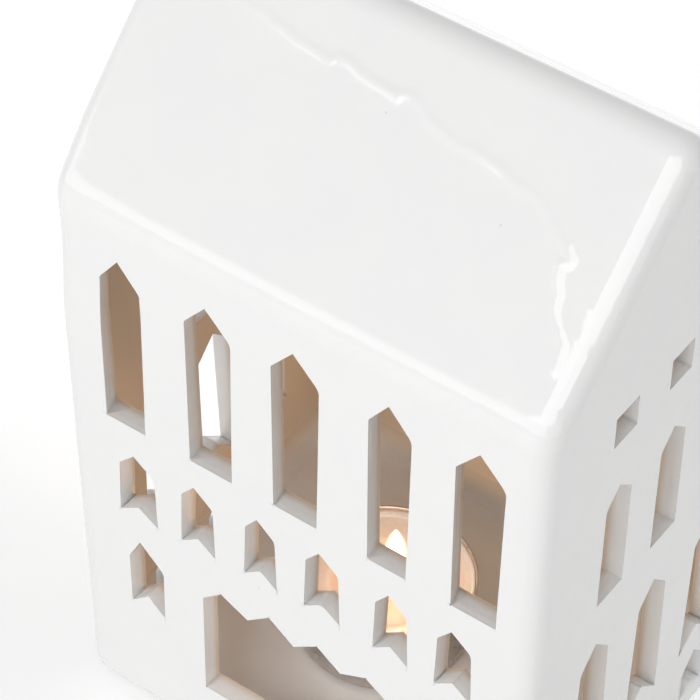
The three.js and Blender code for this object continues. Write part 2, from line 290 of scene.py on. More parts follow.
world = bpy.data.worlds.new("studio")
bpy.context.scene.world = world
world.use_nodes = True
tree = world.node_tree
tree.nodes.clear()
spare = multiply(tree, seen_directly(tree), 1 - WORLD_LEVEL)
level = math_node(tree, "ADD", spare, WORLD_LEVEL)
sky = add_node(tree, "ShaderNodeBackground", Color=(1, 1, 1, 1), Strength=level)
tree.links.new(sky.outputs[0], add_node(tree, "ShaderNodeOutputWorld").inputs["Surface"])
print("floor and world ready")

# %% [markdown]
# One wide, soft lamp stands in front, a little to the left. It lifts the front wall and the front
# roof slope above the gable. The bright bands along the eave and the gable edge are reflections:
# glaze mirrors about a twentieth of what stands opposite, so two bright cards that only
# reflections can see draw those bands without adding light.

# %% The lamp and the reflection cards
AIM = Vector((0, 0, 0.08))
CARD_DISTANCE = 1.2
CARD_COLUMNS = 12
CARD_ROWS = 6


def soft_lamp(name, azimuth, elevation, distance, width, height, power):
    """A rectangular lamp that shines on the object and that no camera ray meets."""
    data = bpy.data.lights.new(name, "AREA")
    data.shape = "RECTANGLE"
    data.size = width
    data.size_y = height
    data.energy = power
    lamp = add_object(name, data)
    place = AIM + direction(math.radians(azimuth), math.radians(elevation)) * distance
    turn = (AIM - place).to_track_quat("-Z", "Y").to_matrix()
    lamp.matrix_world = Matrix.Translation(place) @ turn.to_4x4()
    lamp.visible_camera = False
    lamp.visible_glossy = False


def card(name, azimuths, elevations, strength):
    """A glowing sheet on a sphere round the object, between two azimuths and two elevations."""
    mesh = bpy.data.meshes.new(name)
    patch = bmesh.new()
    bmesh.ops.create_grid(patch, x_segments=CARD_COLUMNS, y_segments=CARD_ROWS, size=0.5)
    for vert in patch.verts:
        across = azimuths[0] + (azimuths[1] - azimuths[0]) * (vert.co.x + 0.5)
        upward = elevations[0] + (elevations[1] - elevations[0]) * (vert.co.y + 0.5)
        vert.co = AIM + direction(math.radians(across), math.radians(upward)) * CARD_DISTANCE
    patch.to_mesh(mesh)
    patch.free()
    sheet = add_object(name, mesh)
    for ray in ("camera", "diffuse", "transmission", "shadow", "volume_scatter"):
        setattr(sheet, "visible_" + ray, False)
    material, tree, output = new_material(name)
    glow = add_node(tree, "ShaderNodeEmission", Strength=strength)
    tree.links.new(glow.outputs[0], output.inputs["Surface"])
    mesh.materials.append(material)


soft_lamp("front_lamp", azimuth=-2, elevation=28, distance=1.4, width=1.3, height=0.9, power=8.5)
card("eave_card", azimuths=(-60, 30), elevations=(13, 30), strength=2.3)
card("gable_card", azimuths=(-20, 60), elevations=(30, 60), strength=3.4)
print("lamp and cards ready")

# %% [markdown]
# The house is cast: liquid clay settles on the walls of a plaster mould, so every corner is
# round, and the walls are a little wavy once fired. The windows were cut by hand with a knife
# while the clay was soft, and the glaze then rounded the edges of the cuts.
# The construction has the form with sharp cuts. A copy of its mesh is taken, and the mesh
# itself stays as it is. Its loose triangles are welded, and flat areas become single faces.

# %% Weld a copy of the casting
WELD = 1e-6
FLAT = math.radians(0.5)

shell = bmesh.new()
shell.from_mesh(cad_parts["house_shell"].data)
bmesh.ops.remove_doubles(shell, verts=shell.verts, dist=WELD)
bmesh.ops.dissolve_limit(shell, angle_limit=FLAT, verts=shell.verts, edges=shell.edges)
print("welded casting:", len(shell.verts), "corners,", len(shell.faces), "faces")

# %% [markdown]
# Which faces did the knife leave? A cut face spans the wall, so its middle lies halfway through
# one of the four walls. Three walls are upright, and the left gable leans out a little. The edges
# between a cut face and any other face are the mouths of the openings, inside and outside.

# %% Find the cut faces and the mouths
WALL = 4.5 * MM
FLOOR_TOP = 8 * MM
CUTS_TOP = 125 * MM
CORNER_CLEAR = 6 * MM  # no opening comes nearer to a corner
ROOF_ANGLE = math.atan2(38.5, 41.25)
ROOF_PEAK = 171.5 * MM
FOOT_LENGTH = 105 * MM
LEFT_LEAN = 0.024


def depths(point):
    """How far a point lies inside the outer faces of the long walls, and of the gables."""
    left_face = cad_high.x - FOOT_LENGTH - LEFT_LEAN * point.z
    return cad_high.y - abs(point.y), min(cad_high.x - point.x, point.x - left_face)


def is_cut(face):
    """True for a face with its middle halfway through a wall, between the floor and the eaves."""
    middle = face.calc_center_median()
    long_wall, gable = depths(middle)
    halfway = min(abs(long_wall - WALL / 2), abs(gable - WALL / 2)) < WALL / 4
    return halfway and max(long_wall, gable) > CORNER_CLEAR and FLOOR_TOP < middle.z < CUTS_TOP


cut_faces = {face for face in shell.faces if is_cut(face)}
mouths = [e for e in shell.edges if len(cut_faces.intersection(e.link_faces)) == 1]


def on_face(edge):
    """Which wall an outer mouth edge lies on: 0 a long wall, 1 a gable, and None inside."""
    near = [min(depths(v.co)[side] for v in edge.verts) for side in (0, 1)]
    far = [max(depths(v.co)[side] for v in edge.verts) for side in (0, 1)]
    return next((side for side in (0, 1) if far[side] < WALL / 8 and near[1 - side] > 0), None)


long_mouths = [e for e in mouths if on_face(e) == 0]
gable_mouths = [e for e in mouths if on_face(e) == 1]
print("mouth edges:", len(mouths))
print("on long walls:", len(long_mouths), "on gables:", len(gable_mouths))

# %% [markdown]
# A knife that is drawn along two sides of a window runs a little past the corner where they meet.
# On the real house nearly every lower corner has such a nick, a hair wide and up to two
# millimetres long, and so have the tips of the doorway's arches. A nick is a slim wedge, cut with
# a boolean. First comes the list of corners: those where two mouth edges meet at an angle. Seen
# from outside, a left corner has a nick to the left and one down, and a right corner one down,
# a long one where the sill slopes up from it. The glaze has filled the nicks of the gables.

# %% Where the knife overran
NICK_WIDTH = 0.16 * MM
NICK_DEPTH = 0.4 * MM
DOOR_TOP = 50 * MM
LEVEL_NICK = 0.9 * MM
DOWN_NICK = 0.8 * MM
TAIL_NICK = 1.7 * MM
ARCH_NICK = 0.7 * MM
LUCK = 0.45  # by what share the nicks differ in length
LUCK_SIZE = 3 * MM
STEEP = 0.8  # how much of a direction points up or down
SLOPING = 0.2
SIDEWAYS = 0.3

nicks = {"level": [], "steep": []}
outer_mouths = set(long_mouths + gable_mouths)
long_edges = set(long_mouths)
for vert in shell.verts:
    meeting = [e for e in vert.link_edges if e in long_edges]
    if len(meeting) != 2:
        continue
    out = Vector((0, math.copysign(1, vert.co.y), 0))
    side_axis = Vector((0, 0, 1)).cross(out)
    ways = [(e.other_vert(vert).co - vert.co).normalized() for e in meeting]
    level, steep = sorted(ways, key=lambda way: abs(way.z))
    luck = 1 + LUCK * noise.noise(vert.co / LUCK_SIZE)
    tip = vert.co.copy()
    if steep.z > STEEP and level.z > -SLOPING and level.dot(side_axis) > SIDEWAYS:
        nicks["level"].append((tip, -level, LEVEL_NICK * luck, out))
        nicks["steep"].append((tip, -steep, DOWN_NICK * luck, out))
    elif steep.z > STEEP and level.dot(side_axis) < -SIDEWAYS:
        length = TAIL_NICK if level.z > SLOPING else DOWN_NICK
        nicks["steep"].append((tip, -steep, length * luck, out))
    elif level.z < -SLOPING and steep.z < -SLOPING and vert.co.z < DOOR_TOP:
        nicks["steep"].append((tip, -level, ARCH_NICK * luck, out))
print("nicks:", {name: len(places) for name, places in nicks.items()})

# %% [markdown]
# The mouths get a small bevel, which is the glaze's rounding. Glaze gathers more on the gables,
# where the edges of the windows are rounder than on the long walls.

# %% Round the mouths of the openings
LONG_ROUND = 0.4 * MM
GABLE_ROUND = 0.95 * MM
INNER_ROUND = 0.6 * MM
MOUTH_STEPS = 3


def round_edges(mesh, edges, width):
    """Gives edges a bevel of a few steps, and returns how many there were."""
    edges = [e for e in edges if e.is_valid]
    bmesh.ops.bevel(
        mesh, geom=edges, offset=width, offset_type="OFFSET", segments=MOUTH_STEPS, profile=0.5,
        affect="EDGES", clamp_overlap=True, material=-1,
    )
    return len(edges)


inner_mouths = [e for e in mouths if e not in outer_mouths]
roundings = ((long_mouths, LONG_ROUND), (gable_mouths, GABLE_ROUND), (inner_mouths, INNER_ROUND))
for edges, width in roundings:
    print("rounded", round_edges(shell, edges, width), "edges by", round(width / MM, 2), "mm")

# %% [markdown]
# Now the nicks are cut, all by one knife. A wedge reaches from inside the opening to the end of
# its nick, and it is widest and deepest near the corner. The result must be closed all round.

# %% Cut the nicks
WAIST = 0.2  # where the wedge is widest, and how far back it starts, as shares of its length
BACK = 0.6


def wedge(mesh, tip, way, length, out):
    """Adds a slim wedge that starts inside an opening and runs out in the wall's surface."""
    side = way.cross(out) * NICK_WIDTH
    waist = tip + way * length * WAIST
    corners = [
        tip - way * length * BACK, tip + way * length, waist + side, waist - side,
        waist + out * NICK_DEPTH, waist - out * NICK_DEPTH,
    ]
    verts = [mesh.verts.new(corner) for corner in corners]
    bmesh.ops.convex_hull(mesh, input=verts)


def subtract(mesh, cutter):
    """The bmesh with another one cut out of it, both freed, by an exact boolean modifier."""
    objects = []
    for name, part in (("stock", mesh), ("knife", cutter)):
        data = bpy.data.meshes.new(name)
        part.to_mesh(data)
        part.free()
        objects.append(add_object(name, data))
    stock, knife = objects
    cut = stock.modifiers.new("cut", "BOOLEAN")
    cut.operation = "DIFFERENCE"
    cut.solver = "EXACT"
    cut.use_self = True
    cut.object = knife
    result = bmesh.new()
    result.from_mesh(stock.evaluated_get(bpy.context.evaluated_depsgraph_get()).data)
    for used in objects:
        data = used.data
        bpy.data.objects.remove(used)
        bpy.data.meshes.remove(data)
    return result


knife = bmesh.new()
for place in nicks["level"] + nicks["steep"]:
    wedge(knife, *place)
bmesh.ops.recalc_face_normals(knife, faces=knife.faces)
shell = subtract(shell, knife)
print("with nicks:", len(shell.verts), "corners,", len(shell.faces), "faces")
print("edges that aren't closed:", sum(not e.is_manifold for e in shell.edges))

# %% [markdown]
# The flat faces are then sliced into cells of a few millimetres, so that the next steps can bend
# them a little.

# %% Slice the surface into cells
CELL = 4 * MM


def slice_along(mesh, axis, low, high):
    """Cuts the mesh at even steps along one axis."""
    count = int((high - low) / CELL)
    normal = Vector([float(i == axis) for i in range(3)])
    for step in range(1, count):
        place = normal * (low + (high - low) * step / count)
        parts = mesh.verts[:] + mesh.edges[:] + mesh.faces[:]
        bmesh.ops.bisect_plane(mesh, geom=parts, plane_co=place, plane_no=normal, dist=WELD)


for axis in range(3):
    slice_along(shell, axis, cad_low[axis], cad_high[axis])
print("sliced house:", len(shell.verts), "corners,", len(shell.faces), "faces")

# %% [markdown]
# The knife wasn't held square to the wall: behind their left edges, the tall windows of the front
# open out to the left, most of all at the head of the first one. The inner edges of those jambs
# are pushed aside, and what lies between them and the outer edges follows in step. Each jamb has
# its place along the wall, its push at the window's head and its push at the sill, in millimetres.

# %% Slant the left jambs of the tall windows
SLANTS = (
    (-41.8, 1.8, 1.0), (-22.2, 0.9, 0.4), (-3.1, 0.8, 0.6), (17.9, 0.5, 0.4), (36.0, 1.2, 1.1),
)
SILL_LEVEL = 81 * MM
HEAD_LEVEL = 117 * MM
SLANT_REACH = 3.5 * MM
SLANT_DEPTH = 1.2  # just past the wall's inner face, as a share of its thickness

slanted = 0
for vert in shell.verts:
    inward = (vert.co.y - cad_low.y) / WALL
    beside_window = SILL_LEVEL - SLANT_REACH < vert.co.z < HEAD_LEVEL + SLANT_REACH
    for jamb, at_head, at_sill in SLANTS:
        away = abs(vert.co.x - jamb * MM) / SLANT_REACH
        if beside_window and 0 < inward < SLANT_DEPTH and away < 1:
            share = min(max((vert.co.z - SILL_LEVEL) / (HEAD_LEVEL - SILL_LEVEL), 0), 1)
            push = at_sill + (at_head - at_sill) * share
            vert.co.x -= push * MM * min(inward, 1) * (1 - away ** 4)
            slanted += 1
print("points of slanted jambs:", slanted)

# %% [markdown]
# On the real house the left end of the front eave is rounder than its right end. So the corner
# there is drawn in by about a millimetre, and ever less up to 24 mm away from it.

# %% Soften the eave's left end
SOFT_CORNER = Vector((-53.5, -41.25, 124)) * MM
SOFT_AIM = Vector((-20, -15, 95)) * MM
SOFT_REACH = 24 * MM
SOFT_PULL = 1.1 * MM

pull = (SOFT_AIM - SOFT_CORNER).normalized() * SOFT_PULL
softened = [v for v in shell.verts if (v.co - SOFT_CORNER).length < SOFT_REACH]
for vert in softened:
    vert.co += pull * (1 - ((vert.co - SOFT_CORNER).length / SOFT_REACH) ** 2) ** 2
print("points drawn in at the left corner:", len(softened))

# %% [markdown]
# A thin ridge of glaze runs over the front roof slope and down to the right corner, where two
# coats met. Its course is a chain of points seen from above, in millimetres. The cells along it
# are subdivided twice.

# %% The course of the ridge of glaze
GLAZE_RUN = [
    (-46, -8.3), (-38, -8.8), (-33.8, -9), (-27.7, -9.2), (-25.7, -9.7), (-23.2, -9.9),
    (-20.1, -10.4), (-17.4, -10.5), (-14.5, -10.8), (-12.9, -10.9), (-11.6, -10.1),
    (-9.3, -10.1), (-6.7, -10.7), (-3.9, -11), (-1.2, -11.1), (1.6, -11.4), (2.4, -10.7),
    (4, -10.5), (6.5, -11.1), (8.6, -12.1), (10.7, -12.6), (12.8, -13), (14.9, -13.5),
    (17.8, -13.2), (21, -13.5), (23.6, -13.7), (26.1, -14.4), (28.5, -14.9), (31.3, -14.7),
    (33.7, -15.2), (36, -16.3), (38.4, -17.7), (41, -18.8), (42.6, -20.1), (41.1, -21),
    (41.9, -22.8), (43.2, -24.4), (43.8, -26.2), (45.6, -27.9), (47.9, -29.8), (48.6, -32.4),
]
RUN_REACHES = (4 * MM, 1.6 * MM)
FACING = 0.5  # the least share of a normal of the front slope that points up, and to the front
run = [Vector((x, y, 0)) * MM for x, y in GLAZE_RUN]


def from_run(point):
    """How far a point lies from the ridge of glaze, seen from above."""
    flat = Vector((point.x, point.y, 0))
    nearest = math.inf
    for start, end in zip(run, run[1:]):
        share = (flat - start).dot(end - start) / (end - start).length_squared
        nearest = min(nearest, (flat - start.lerp(end, min(max(share, 0), 1))).length)
    return nearest


def on_front_slope(normal, point):
    """True on the outside of the front slope of the roof."""
    return normal.z > FACING and normal.y < -FACING and point.z > CUTS_TOP


def near_run(face, reach):
    """True for a face of the front slope that the ridge of glaze passes within the reach."""
    middle = face.calc_center_median()
    return on_front_slope(face.normal, middle) and from_run(middle) < reach


for reach in RUN_REACHES:
    shell.normal_update()
    slope = [f for f in shell.faces if near_run(f, reach)]
    edges = list(dict.fromkeys(e for f in slope for e in f.edges))
    bmesh.ops.subdivide_edges(shell, edges=edges, cuts=3, use_grid_fill=True)
print("cells under the ridge of glaze:", len(slope))

# %% [markdown]
# A fired wall is never quite flat. A slow wave lets each point sink into the clay by up to an
# eighth of a millimetre, and none rises, so the house keeps its real size. The foot and the
# floor stay level. Along its course, the ridge of glaze is lifted by about a fifth of a
# millimetre, more in some places than in others, so that it catches the light unevenly.

# %% Let the surface wave, and lift the ridge of glaze
WAVE_DEPTH = 0.12 * MM
WAVE_LENGTH = 36 * MM
LEVEL_BAND = 0.4 * MM
RUN_HEIGHT = 0.19 * MM
RUN_WIDTH = 0.8 * MM
RUN_UNEVEN = 0.8
RUN_PATCH = 7 * MM

shell.normal_update()
moves = {}
for vert in shell.verts:
    level = vert.co.z < LEVEL_BAND or abs(vert.co.z - FLOOR_TOP) < LEVEL_BAND
    lift = 0 if level else -WAVE_DEPTH * (1 + noise.noise(vert.co / WAVE_LENGTH)) / 2
    if on_front_slope(vert.normal, vert.co):
        thick = 1 + RUN_UNEVEN * noise.noise(vert.co / RUN_PATCH)
        lift += RUN_HEIGHT * thick * math.exp(-((from_run(vert.co) / RUN_WIDTH) ** 2))
    if lift:
        moves[vert] = vert.normal * lift
for vert, move in moves.items():
    vert.co += move
print("points moved by the wave:", len(moves))

# %% [markdown]
# An attribute tells the glaze where it is: how deep a point lies in the wall, from 0 outside to 1
# on the inner face. No point may stand out of the construction's own box, so the long walls are
# held to it. Weighted normals keep the flat faces flat next to the small roundings.

# %% Finish the house's mesh
def wall_depth(point):
    """How far a point lies under the outside of the house, as a share of the wall's thickness."""
    roof = (ROOF_PEAK - abs(point.y) * math.tan(ROOF_ANGLE) - point.z) * math.cos(ROOF_ANGLE)
    return min(*depths(point), roof, point.z) / WALL


depth_layer = shell.verts.layers.float.new("wall_depth")
for vert in shell.verts:
    vert.co.y = min(max(vert.co.y, cad_low.y), cad_high.y)
    vert[depth_layer] = wall_depth(vert.co)
for face in shell.faces:
    face.smooth = True
house_mesh = bpy.data.meshes.new("glazed_house")
shell.to_mesh(house_mesh)
shell.free()
house = add_object("glazed_house", house_mesh)
even = house.modifiers.new("even_normals", "WEIGHTED_NORMAL")
even.mode = "FACE_AREA"
even.weight = 50  # neutral: faces count by their area alone
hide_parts("house_shell")
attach(house, "house")
print("glazed house:", len(house_mesh.vertices), "corners,", len(house_mesh.polygons), "faces")

# %% [markdown]
# The glaze is white, thick and glossy outside. The floor inside is painted whiter: painted light
# that stands in for the light falling in through the doorway. The glaze's gloss is a little uneven,
# and the surface has fine ripples like the peel of an orange, with a few pinholes where gas came
# through. On the cuts, fine upright streaks of the knife show through.
# Inside, the glaze is thin over the clay, so it is duller, and its colour is darker and browner:
# partly the clay that shows through, partly painted shade with the warmth of the candle light.
# The foot ring was wiped bare before the firing: the cream-coloured clay shows there.

# %% White glaze
GLAZE_WHITE = (0.84, 0.842, 0.84, 1)
GLAZE_CLOUD = (0.855, 0.853, 0.846, 1)
# Painted light: the floor inside is made whiter, for the light that falls in through the doorway.
FLOOR_PAINTED_LIGHT = (0.97, 0.965, 0.955, 1)
# Partly the clay under thin glaze, partly painted shade with the candle light's warmth inside.
INSIDE_CLAY_AND_SHADE = (0.73, 0.615, 0.485, 1)
BARE_CLAY = (0.72, 0.66, 0.57, 1)
PINHOLE = (0.72, 0.7, 0.68, 1)
INSIDE_DULL = 0.3
CLAY_DULL = 0.8
GLAZE_IOR = 1.55

glaze, tree, output = new_material("white_glaze")
depth = add_node(tree, "ShaderNodeAttribute", attribute_name="wall_depth").outputs["Fac"]
height = coordinate(tree, "Z")
above_floor = ramp(tree, height, 8.5 * MM, 20 * MM)
# Painted light: this masks the floor inside and the foot of the inner walls, which are whitened.
painted_floor_light = multiply(tree, ramp(tree, depth, 0.8, 1.0), math_node(tree, "SUBTRACT", 1, above_floor))
# The inside, whose gloss is duller and whose colour is partly painted shade.
inside = multiply(tree, above_floor, ramp(tree, depth, 0.55, 1.0))
bare = ramp(tree, height, 0.5 * MM, 0.2 * MM)
holes = use_group(tree, specks, Cell=7 * MM, Radius=0.04, Share=0.35)
cloudy = use_group(tree, mottle, Size=14 * MM, Low=0.0, High=1.0)
colour = blend_colours(tree, cloudy, GLAZE_WHITE, GLAZE_CLOUD)
for mask, tint in (
    (painted_floor_light, FLOOR_PAINTED_LIGHT), (inside, INSIDE_CLAY_AND_SHADE), (holes, PINHOLE), (bare, BARE_CLAY),
):
    colour = blend_colours(tree, mask, colour, tint)
gloss = use_group(tree, mottle, Size=5 * MM, Low=0.05, High=0.11)
dull = math_node(
    tree, "MAXIMUM", multiply(tree, inside, INSIDE_DULL), multiply(tree, bare, CLAY_DULL),
)
roughness = math_node(tree, "MAXIMUM", gloss, dull)
print("nodes for the glaze's colour and gloss:", len(tree.nodes))

# %% The glaze's relief
PEEL_HEIGHT = 0.004 * MM
SWELL_HEIGHT = 0.05 * MM
STREAK_HEIGHT = 0.07 * MM
STREAK_WIDTH = 1.3 * MM
STREAK_STRETCH = 0.09  # a streak is about eleven times as long as it is wide
PINHOLE_DEPTH = 0.04 * MM

peel = use_group(tree, mottle, Size=1.6 * MM, Low=0.0, High=PEEL_HEIGHT)
swell = use_group(tree, mottle, Size=9 * MM, Low=0.0, High=SWELL_HEIGHT)
streaks = drawn_lines(tree, STREAK_WIDTH, STREAK_STRETCH, detail=2.0)
on_cut = multiply(tree, ramp(tree, depth, 0.1, 0.3), ramp(tree, depth, 1.0, 0.85))
streaks = multiply(tree, multiply(tree, streaks, on_cut), STREAK_HEIGHT)
relief = math_node(tree, "ADD", math_node(tree, "ADD", peel, swell), streaks)
relief = math_node(tree, "SUBTRACT", relief, multiply(tree, holes, PINHOLE_DEPTH))
finish_material(
    tree, output, Base_Color=colour, Roughness=roughness, IOR=GLAZE_IOR,
    Normal=bent_normal(tree, relief),
)
house_mesh.materials.clear()
house_mesh.materials.append(glaze)
print("nodes in the glaze:", len(tree.nodes))

# %% [markdown]
# The pieces of a tealight are round, so each is a profile spun about the cup's axis. A profile is
# a short chain of points, as radius and height in millimetres over the foot of the cup, and a
# rolled rim or a soft corner is a run of points on an arc. The spin merges its own seam, and
# what meets on the axis is merged afterwards. Materials can ask for the distance from that axis.

# %% Helpers for spun pieces
cup_low, cup_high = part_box("tealight_cup")
CUP_AXIS = Vector(((cup_low.x + cup_high.x) / 2, (cup_low.y + cup_high.y) / 2, 0))
CUP_FOOT = cup_low.z
SPIN_STEPS = 96
print("the cup's axis, mm:", round(CUP_AXIS.x / MM, 2), round(CUP_AXIS.y / MM, 2))


def from_cup_axis(tree):
    """How far the shaded point lies from the cup's axis, in metres."""
    place = object_place(tree)
    level = add_node(
        tree, "ShaderNodeMapping", Vector=place, Location=-CUP_AXIS, Scale=(1, 1, 0),
    ).outputs[0]
    return add_node(tree, "ShaderNodeVectorMath", operation="LENGTH", _0=level).outputs["Value"]


def arc(radius, middle, first, last, steps=6):
    """Points on an arc round (radius, height), from one angle to another, in degrees."""
    points = []
    for step in range(steps + 1):
        angle = math.radians(first + (last - first) * step / steps)
        points.append((middle[0] + radius * math.cos(angle), middle[1] + radius * math.sin(angle)))
    return points


def spin_profile(points, steps=SPIN_STEPS):
    """A closed bmesh turned about the cup's axis, with its faces pointing out."""
    mesh = bmesh.new()
    places = [CUP_AXIS + Vector((r * MM, 0, CUP_FOOT + z * MM)) for r, z in points]
    verts = [mesh.verts.new(place) for place in places]
    edges = [mesh.edges.new(pair) for pair in zip(verts, verts[1:])]
    bmesh.ops.spin(
        mesh, geom=verts + edges, cent=CUP_AXIS, axis=(0, 0, 1), angle=math.tau, steps=steps,
        use_merge=True,
    )
    bmesh.ops.remove_doubles(mesh, verts=mesh.verts, dist=WELD)
    bmesh.ops.recalc_face_normals(mesh, faces=mesh.faces)
    return mesh


def finish_piece(mesh, name, material, body, slot, *nodes):
    """Makes the bmesh an object with one material, riding on a body in place of the nodes."""
    for face in mesh.faces:
        face.smooth = True
    data = bpy.data.meshes.new(name)
    mesh.to_mesh(data)
    mesh.free()
    data.materials.append(material)
    piece = add_object(name, data)
    if nodes:
        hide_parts(*nodes)
    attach(piece, body)
    print(name + ":", len(data.vertices), "corners,", len(data.polygons), "faces")
    return piece


# %% [markdown]
# The cup is pressed from aluminium foil. Its floor is raised a little inside a ring that it stands
# on, its wall widens slightly towards the top, and the rim is rolled outwards into a bead. The
# sheet is a little thicker here than real foil, so that its two faces keep well apart. Pressing
# leaves fine upright lines on the wall, and the heat of the flame has made the shine patchy.

# %% The cup
SHEET = 0.25
RIM = 0.32  # the radius of the rolled bead
FOOT_IN = 0.5  # how much narrower the foot is than the wall under the rim
FOOT_ROUND = 1.2
RAISED = 0.12
RAISED_RADIUS = 9
RING_RADIUS = 9.6
FOIL_LIGHT = (0.66, 0.63, 0.61, 1)
FOIL_DARK = (0.55, 0.5, 0.46, 1)
FOIL_LINE = 0.25 * MM
FOIL_STRETCH = 0.04
FOIL_RELIEF = 0.012 * MM

cup_radius = (cup_high.x - cup_low.x) / 2 / MM
cup_height = (cup_high.z - cup_low.z) / MM
wall_radius = cup_radius - 2 * RIM - SHEET / 2
foot_middle = (wall_radius - FOOT_IN + SHEET - FOOT_ROUND, FOOT_ROUND)
rim_middle = (cup_radius - RIM, cup_height - RIM)
cup_outside = [
    (0, RAISED), (RAISED_RADIUS, RAISED), (RING_RADIUS, 0), *arc(FOOT_ROUND, foot_middle, -90, 0),
    (wall_radius + SHEET, cup_height - 2 * RIM), *arc(RIM, rim_middle, -90, 180, 12),
]
cup_inside = [
    *arc(FOOT_ROUND - SHEET, foot_middle, 0, -90), (RING_RADIUS, SHEET),
    (RAISED_RADIUS, SHEET + RAISED), (0, SHEET + RAISED),
]

foil, tree, output = new_material("cup_aluminium")
lift = multiply(tree, drawn_lines(tree, FOIL_LINE, FOIL_STRETCH, detail=1.0), FOIL_RELIEF)
gloss = use_group(tree, mottle, Size=2 * MM, Low=0.24, High=0.42)
tone = use_group(tree, mottle, Size=6 * MM, Low=0.0, High=1.0)
finish_material(
    tree, output, Base_Color=blend_colours(tree, tone, FOIL_LIGHT, FOIL_DARK), Metallic=1.0,
    Roughness=gloss, Normal=bent_normal(tree, lift),
)
cup_mesh = spin_profile(cup_outside + cup_inside)
finish_piece(cup_mesh, "foil_cup", foil, "tealight", "cup_aluminium", "tealight_cup")

# %% [markdown]
# The wax was poured into the cup. It clings to the wall as a thin film up to the rim, its top is
# nearly level, and round the wick a pool has melted. One closed profile holds all of that, with
# the room that the sustainer and the wick take up inside.

# %% The wax
FILM_GAP = 0.05  # between the wax and the foil or its rim
POOL_RADIUS = 10
POOL_DEPTH = 0.7
BORE = 1.0
COLLAR_RADIUS = 1.9
COLLAR_TOP = 4.4
DISC_RADIUS = 6.6
DISC_TOP = 1.35

wax_low, wax_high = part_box("tealight_wax")
wax_radius = wall_radius - FILM_GAP
wax_foot = (wax_low.z - CUP_FOOT) / MM
wax_top = (wax_high.z - CUP_FOOT) / MM
pool_level = wax_top - POOL_DEPTH
film_top = cup_height - 2 * RIM - FILM_GAP
wax_side = [
    (DISC_RADIUS, wax_foot), (wax_radius - 1.6, wax_foot), (wax_radius - 0.8, wax_foot + 0.5),
    (wax_radius - 0.5, wax_foot + 1.5), (wax_radius, film_top - 0.1),
]
wax_film = [
    (wax_radius - 0.1, film_top), (wax_radius - 0.25, wax_top + 1.1),
    (wax_radius - 0.9, wax_top + 0.35), (wax_radius - 2.4, wax_top + 0.05),
]
wax_surface = [
    (14, wax_top - 0.05), (12.4, wax_top - 0.05), (11.5, wax_top - 0.15), (10.8, pool_level + 0.15),
    (POOL_RADIUS, pool_level), (6, pool_level - 0.02), (2.2, pool_level), (BORE, pool_level + 0.2),
]
wax_hollow = [
    (BORE, COLLAR_TOP), (COLLAR_RADIUS, COLLAR_TOP), (COLLAR_RADIUS, DISC_TOP),
    (DISC_RADIUS, DISC_TOP), (DISC_RADIUS, wax_foot),
]
wax_mesh = spin_profile(wax_side + wax_film + wax_surface + wax_hollow)
print("wax, radius and height in mm:", round(wax_radius, 2), round(film_top, 2))

# %% [markdown]
# Near the flame the wax has melted: there it is glossy and a little darker, and soot lies in it.
# Further out it has set again into fine crystals. Light goes a few millimetres into wax before it
# comes back out, which subsurface scattering gives.

# %% Candle wax
WAX_PALE = (0.74, 0.68, 0.65, 1)
WAX_DEEP = (0.7, 0.63, 0.59, 1)
WAX_MOLTEN = (0.68, 0.56, 0.48, 1)
SOOT = (0.16, 0.12, 0.09, 1)
MOLTEN_EDGE = 10.4 * MM  # the pool is wet up to here,
FIRM_EDGE = 12 * MM  # and from here on the wax is firm
WET_GLOSS = 0.2  # how much of its roughness the wax keeps where it is wet
CRYSTAL_RELIEF = 0.03 * MM
WAX_IOR = 1.44

wax_material, tree, output = new_material("candle_wax")
radius = from_cup_axis(tree)
molten = ramp(tree, radius, FIRM_EDGE, MOLTEN_EDGE)
soot = use_group(tree, specks, Cell=2.2 * MM, Radius=0.09, Share=0.12)
crystals = use_group(tree, mottle, Size=1.1 * MM, Low=0.0, High=1.0)
colour = blend_colours(tree, crystals, WAX_PALE, WAX_DEEP)
colour = blend_colours(tree, molten, colour, WAX_MOLTEN)
colour = blend_colours(tree, soot, colour, SOOT)
gloss = use_group(tree, mottle, Size=1.6 * MM, Low=0.28, High=0.45)
gloss = multiply(tree, gloss, ramp(tree, radius, MOLTEN_EDGE, FIRM_EDGE, WET_GLOSS, 1.0))
grain = use_group(tree, mottle, Size=0.9 * MM, Low=0.0, High=CRYSTAL_RELIEF)
grain = multiply(tree, grain, math_node(tree, "SUBTRACT", 1, molten))
finish_material(
    tree, output, Base_Color=colour, Roughness=gloss, IOR=WAX_IOR, Subsurface_Weight=0.6,
    Subsurface_Radius=(1, 0.6, 0.35), Subsurface_Scale=0.005, Normal=bent_normal(tree, grain),
)
finish_piece(wax_mesh, "poured_wax", wax_material, "tealight", "candle_wax", "tealight_wax")

# %% [markdown]
# The sustainer is a small disc of tinned steel with a collar, which holds the wick upright. The
# construction's mesh has its whole form, so it stays, and only gets its finish: grey tin with the
# fine rings of the press tool, which a noise of the distance from the axis gives.

# %% The sustainer's finish
TIN_LIGHT = (0.62, 0.63, 0.64, 1)
TIN_DARK = (0.5, 0.5, 0.5, 1)
TIN_RING = 0.12 * MM
TIN_RELIEF = 0.006 * MM

